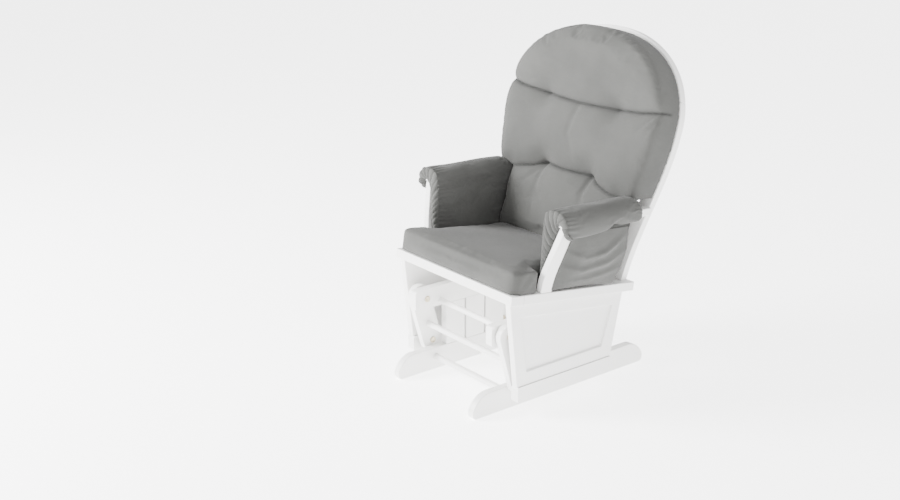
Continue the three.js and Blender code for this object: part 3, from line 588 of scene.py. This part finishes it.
def make_sleeve(side, name, seed):
    """The padded sleeve: an inner panel down to the seat rail, and the roll over the wooden arm."""
    def sleeve(share_r, share_c):
        """Rows run along the arm; columns go up the inner panel and over the roll."""
        around = np.clip((share_c - PANEL_SHARE) / (1 - PANEL_SHARE), 0, 1)
        front = sleeve_front(around)
        rear = PANEL_REAR + (ROLL_REAR - PANEL_REAR) * smoothstep(0.0, 0.25, around)
        y = front + share_r * (rear - front)
        x, up = roll_shape(around, y)
        end = np.clip((share_r - 0.91) / 0.09, 0, 1)
        close = np.sqrt(np.maximum(1 - (end * 0.99) ** 2, 0))
        outer = smoothstep(0.15, 0.45, around)
        tight = 1 - outer * 0.86 * (1 - close)
        depth = share_r * (rear - front)
        grip = 1 - 0.10 * np.exp(-depth / 0.016) * smoothstep(0, 0.2, around)
        x = ROLL_CENTRE[0] + (x - ROLL_CENTRE[0]) * tight * grip
        up = ROLL_CENTRE[1] + (up - ROLL_CENTRE[1]) * tight * grip
        z = arm_underside(y) + up
        gather = np.sin(share_c * 150 + 2.2 * np.sin(share_c * 31)) * 0.0022 * np.exp(-depth / 0.028)
        gather += np.sin(around * 80 + 2 * np.sin(around * 17)) * 0.0016 \
            * np.exp(-(rear - front - depth) / 0.030) * outer
        panel = share_c < PANEL_SHARE
        rise = np.clip(share_c / PANEL_SHARE, 0, 1)
        foot = seat_height(y, HEM_RISE)
        z = np.where(panel, foot + (z - foot) * rise, z)
        bulge = 0.0045 * np.sin(rise * math.pi) * np.sin(np.clip(share_r * 1.1, 0, 1) * math.pi)
        x = np.where(panel, x - bulge - gather * 0.5, x + (x - ROLL_CENTRE[0]) / ROLL_ROUND * gather)
        z = np.where(panel, z, z + (up - ROLL_CENTRE[1]) / ROLL_ROUND * gather)
        points = np.stack([x * side, y, z], axis=1)
        soft = wrinkle(points * np.array([1, 0.6, 1]), 22, seed) * 0.0024
        points[:, 2] += np.where(panel, 0, soft)
        points[:, 0] += np.where(panel, soft * 0.6, 0)
        return points

    mesh = grid_mesh("sleeve", 84, 150, sleeve, flip=side < 0)
    pins = np.zeros(len(mesh.vertices))
    co = get_points(mesh)
    pins[(co[:, 1] < HEM_FRONT + 0.003) | (co[:, 1] > ROLL_REAR - 0.008)] = 1
    pins[co[:, 2] < seat_height(co[:, 1], 0.016)] = 1
    puff(mesh, pins, pressure=1.0, most=0.004, bending=1.5, slack=0.003, steps=12)
    quilt(f"arm_sleeve_{name}", mesh, 0.007, 0.6, f"arm_pad_{name}")


def make_pocket(side, name, seed):
    """The panel outside the arm, which hangs in soft folds from the roll down to the seat rail."""
    def pocket(share_r, share_c):
        rise = share_r
        front = (-0.124 + (-0.084 + 0.124) * rise ** 1.3) + SHIFT
        rear = 0.112 + SHIFT + 0.002 * rise + 0.012 * np.sin(rise * math.pi)
        y = front + share_c * (rear - front)
        foot = seat_height(y, 0.005 + 0.004 * np.sin(share_c * math.pi))
        z = foot + (arm_underside(y) - 0.012 - foot) * rise
        lean = 0.2645 + (0.3165 - 0.2645) * (1 - (1 - rise) ** 1.5)
        hug = np.interp(rise, POST_RISE, [0.2635, 0.268, 0.279, 0.294, 0.312])
        x = hug + (lean - hug) * smoothstep(0, 0.25, share_c)
        x = x + 0.006 * np.sin(rise * math.pi) * np.sin(share_c * math.pi)
        fold = np.zeros(len(rise))
        for path, height in POCKET_FOLDS:
            away, place = distance_to_path(share_c, rise, path)
            fold += height * (np.exp(-(away / 0.045) ** 2) - 0.45 * np.exp(-((away - 0.11) / 0.06) ** 2)) \
                * (0.35 + 0.65 * np.sin(np.clip(place, 0, 1) * math.pi))
        fold *= (1 - rise ** 10) * smoothstep(0, 0.06, rise)
        points = np.stack([(x + fold) * side, y, z], axis=1)
        soft = wrinkle(points * np.array([1, 0.8, 1.4]), 30, seed + 4) * 0.0022
        points[:, 0] += soft * np.sin(share_c * math.pi) * side
        return points

    mesh = grid_mesh("pocket", 64, 76, pocket, flip=side < 0)
    co = get_points(mesh)
    pins = np.zeros(len(co))
    height = (co[:, 2] - seat_height(co[:, 1])) / (arm_underside(co[:, 1]) - seat_height(co[:, 1]))
    pins[height > 0.90] = 1
    pins[height < 0.06] = 1
    front_edge = mesh_edge(mesh) & (co[:, 1] < SHIFT)
    pins[front_edge] = 1
    puff(mesh, pins, pressure=0.5, most=0.004, bending=1.5, steps=12)
    quilt(f"arm_pocket_{name}", mesh, 0.006, 0.3)


def make_gathers(side, name):
    """The gathered front end: it closes in from the sleeve's edge around the post."""
    outer_edge, inner_edge = [], []
    post_front = POST_LINE[-1][1] - 0.010 + SHIFT
    for around in np.linspace(1, 0, 90):
        y = sleeve_front(around)
        x, up = roll_shape(np.array([around]), y)
        here = np.array([x[0], up[0]])
        middle = np.array(OPENING)
        reach = here - middle
        near = middle + reach * max(0.25, 1 - 0.046 / np.linalg.norm(reach))
        edge = middle + reach * 0.93
        outer_edge.append([edge[0], y + 0.004, arm_underside(y) + edge[1]])
        inner_edge.append([near[0], max(y - 0.002, post_front), arm_underside(y) + near[1]])
    top_out, top_in = outer_edge[-1], inner_edge[-1]
    foot = seat_height(HEM_FRONT, HEM_RISE)
    for t in np.linspace(0.03, 1, 80):
        z = top_out[2] + (foot - top_out[2]) * t
        rise = (z - seat_height(HEM_FRONT)) / (arm_underside(HEM_FRONT) - seat_height(HEM_FRONT))
        post_x = np.interp(rise, POST_RISE, [p[0] for p in POST_LINE]) - POST_HALF
        post_y = np.interp(rise, POST_RISE, [p[1] for p in POST_LINE]) + SHIFT
        blend = float(smoothstep(0, 0.25, t))
        outer_edge.append([0.2345, HEM_FRONT + 0.004, z])
        inner_edge.append([top_in[0] + (max(post_x, 0.240) - top_in[0]) * blend,
                           post_front * (1 - blend) + max(post_y - 0.004, HEM_FRONT) * blend, z])
    outer_edge = resampled(outer_edge, GATHER_STEPS)
    inner_edge = resampled(inner_edge, GATHER_STEPS)
    run = np.concatenate([[0], np.cumsum(np.linalg.norm(np.diff(outer_edge, axis=0), axis=1))])

    def gathered(share_r, share_c):
        i = np.round(share_r * (GATHER_STEPS - 1)).astype(int)
        s = run[i]
        t = share_c
        wave = np.abs(np.sin(s / 0.0230 * math.pi + 0.6 * np.sin(s * 47) + 0.4 * np.sin(s * 21)))
        ridge = (2 * wave ** 0.6 - 1) * (1 - 0.45 * smoothstep(0.45, 0.65, share_r))
        full = np.sin(np.clip(t * 1.02, 0, 1) * math.pi) ** 0.7
        ends = np.clip(np.minimum(share_r, 1 - share_r) * 25, 0, 1)
        points = outer_edge[i] + (inner_edge[i] - outer_edge[i]) * t[:, None]
        forward = 0.0120 * full + 0.0058 * ridge * (0.25 + 0.75 * t) * np.sqrt(ends)
        outward = outer_edge[i] - inner_edge[i]
        outward[:, 1] = 0
        outward /= np.maximum(np.linalg.norm(outward, axis=1, keepdims=True), 1e-6)
        points = points + outward * (0.0035 * full + 0.0016 * ridge * (1 - t))[:, None]
        points[:, 1] -= forward
        points[:, 1] += 0.010 * smoothstep(0.8, 1.0, t)
        points[:, 0] *= side
        return points

    mesh = grid_mesh("gathered", GATHER_STEPS, 20, gathered, flip=side < 0)
    quilt(f"arm_gather_{name}", mesh, 0.003, 0.6)


def make_arm_cover(side, name):
    seed = 3.1 if side > 0 else 8.4        # so that the two sides don't crease alike
    make_sleeve(side, name, seed)
    make_pocket(side, name, seed)
    make_gathers(side, name)


def mesh_edge(mesh):
    """Which points lie on the open edge of a net."""
    uses = np.zeros(len(mesh.edges), int)
    loops = np.zeros(len(mesh.loops), int)
    mesh.loops.foreach_get("edge_index", loops)
    np.add.at(uses, loops, 1)
    ends = np.zeros(len(mesh.edges) * 2, int)
    mesh.edges.foreach_get("vertices", ends)
    on = np.zeros(len(mesh.vertices), bool)
    on[ends.reshape(-1, 2)[uses == 1].reshape(-1)] = True
    return on


# ---------------------------------------------------------------- the whole chair
THIN_EASING, BOARD_EASING = 0.0012, 0.0024
SOFT_NODES = {"seat_cushion", "back_cushion", "arm_pad_left", "arm_pad_right"}
for node in sorted(nodes):
    if node in SOFT_NODES:
        continue
    if "bolt" in node:
        nodes[node].data.materials.clear()
        nodes[node].data.materials.append(zinc)
    elif "bearing" in node:
        nodes[node].data.materials.clear()
        nodes[node].data.materials.append(nylon)
    else:
        thin = "dowel" in node or "slat" in node
        eased_copy(node, THIN_EASING if thin else BOARD_EASING, paint, "white_paint")

make_back_cushion()
make_seat_cushion()
for sign, label in ((1, "left"), (-1, "right")):
    make_arm_cover(sign, label)


# ---------------------------------------------------------------- floor, light and camera
def make_floor():
    work = bmesh.new()
    bmesh.ops.create_grid(work, x_segments=1, y_segments=1, size=30)
    mesh = bpy.data.meshes.new("floor")
    work.to_mesh(mesh)
    work.free()
    floor = bpy.data.objects.new("floor", mesh)
    scene.collection.objects.link(floor)
    mat, tree, shader, coords = new_material("floor_finish", Roughness=0.6, Specular_IOR_Level=0.2,
                                             Emission_Color=(1, 1, 1, 1), Emission_Strength=3.4)
    tone = add_group(tree, texture_group("floor_tone", 0.8, 2, 0, 1), coords.outputs["Object"])
    add_colour(tree, shader, tone, (0.955, 0.955, 0.955), (0.965, 0.965, 0.965))
    mesh.materials.append(mat)


def add_light(name, place, target, size, power):
    lamp = bpy.data.lights.new(name, "AREA")
    lamp.shape = "DISK"
    lamp.size = size
    lamp.energy = power
    holder = bpy.data.objects.new(name, lamp)
    holder.location = place
    holder.rotation_euler = (Vector(target) - Vector(place)).to_track_quat("-Z", "Y").to_euler()
    scene.collection.objects.link(holder)


make_floor()
add_light("key", (-2.2, -3.2, 2.0), (0, 0, 0.5), 1.8, 560)
add_light("fill", (3.2, -1.6, 2.2), (0, 0, 0.5), 2.5, 45)
add_light("top", (0.3, 0.6, 3.8), (0, 0, 0.4), 2.5, 30)
world = bpy.data.worlds.new("studio")
world.use_nodes = True
world.node_tree.nodes["Background"].inputs["Color"].default_value = (1, 1, 1, 1)
world.node_tree.nodes["Background"].inputs["Strength"].default_value = 1.3
scene.world = world

lens = bpy.data.cameras.new("camera")
lens.lens = 54.69
lens.sensor_width = 36
camera = bpy.data.objects.new("camera", lens)
camera.location = (2.84088, -2.54217 + SHIFT, 1.7024)
camera.rotation_euler = (math.radians(70.88), 0, math.radians(51.36))
scene.collection.objects.link(camera)
scene.camera = camera
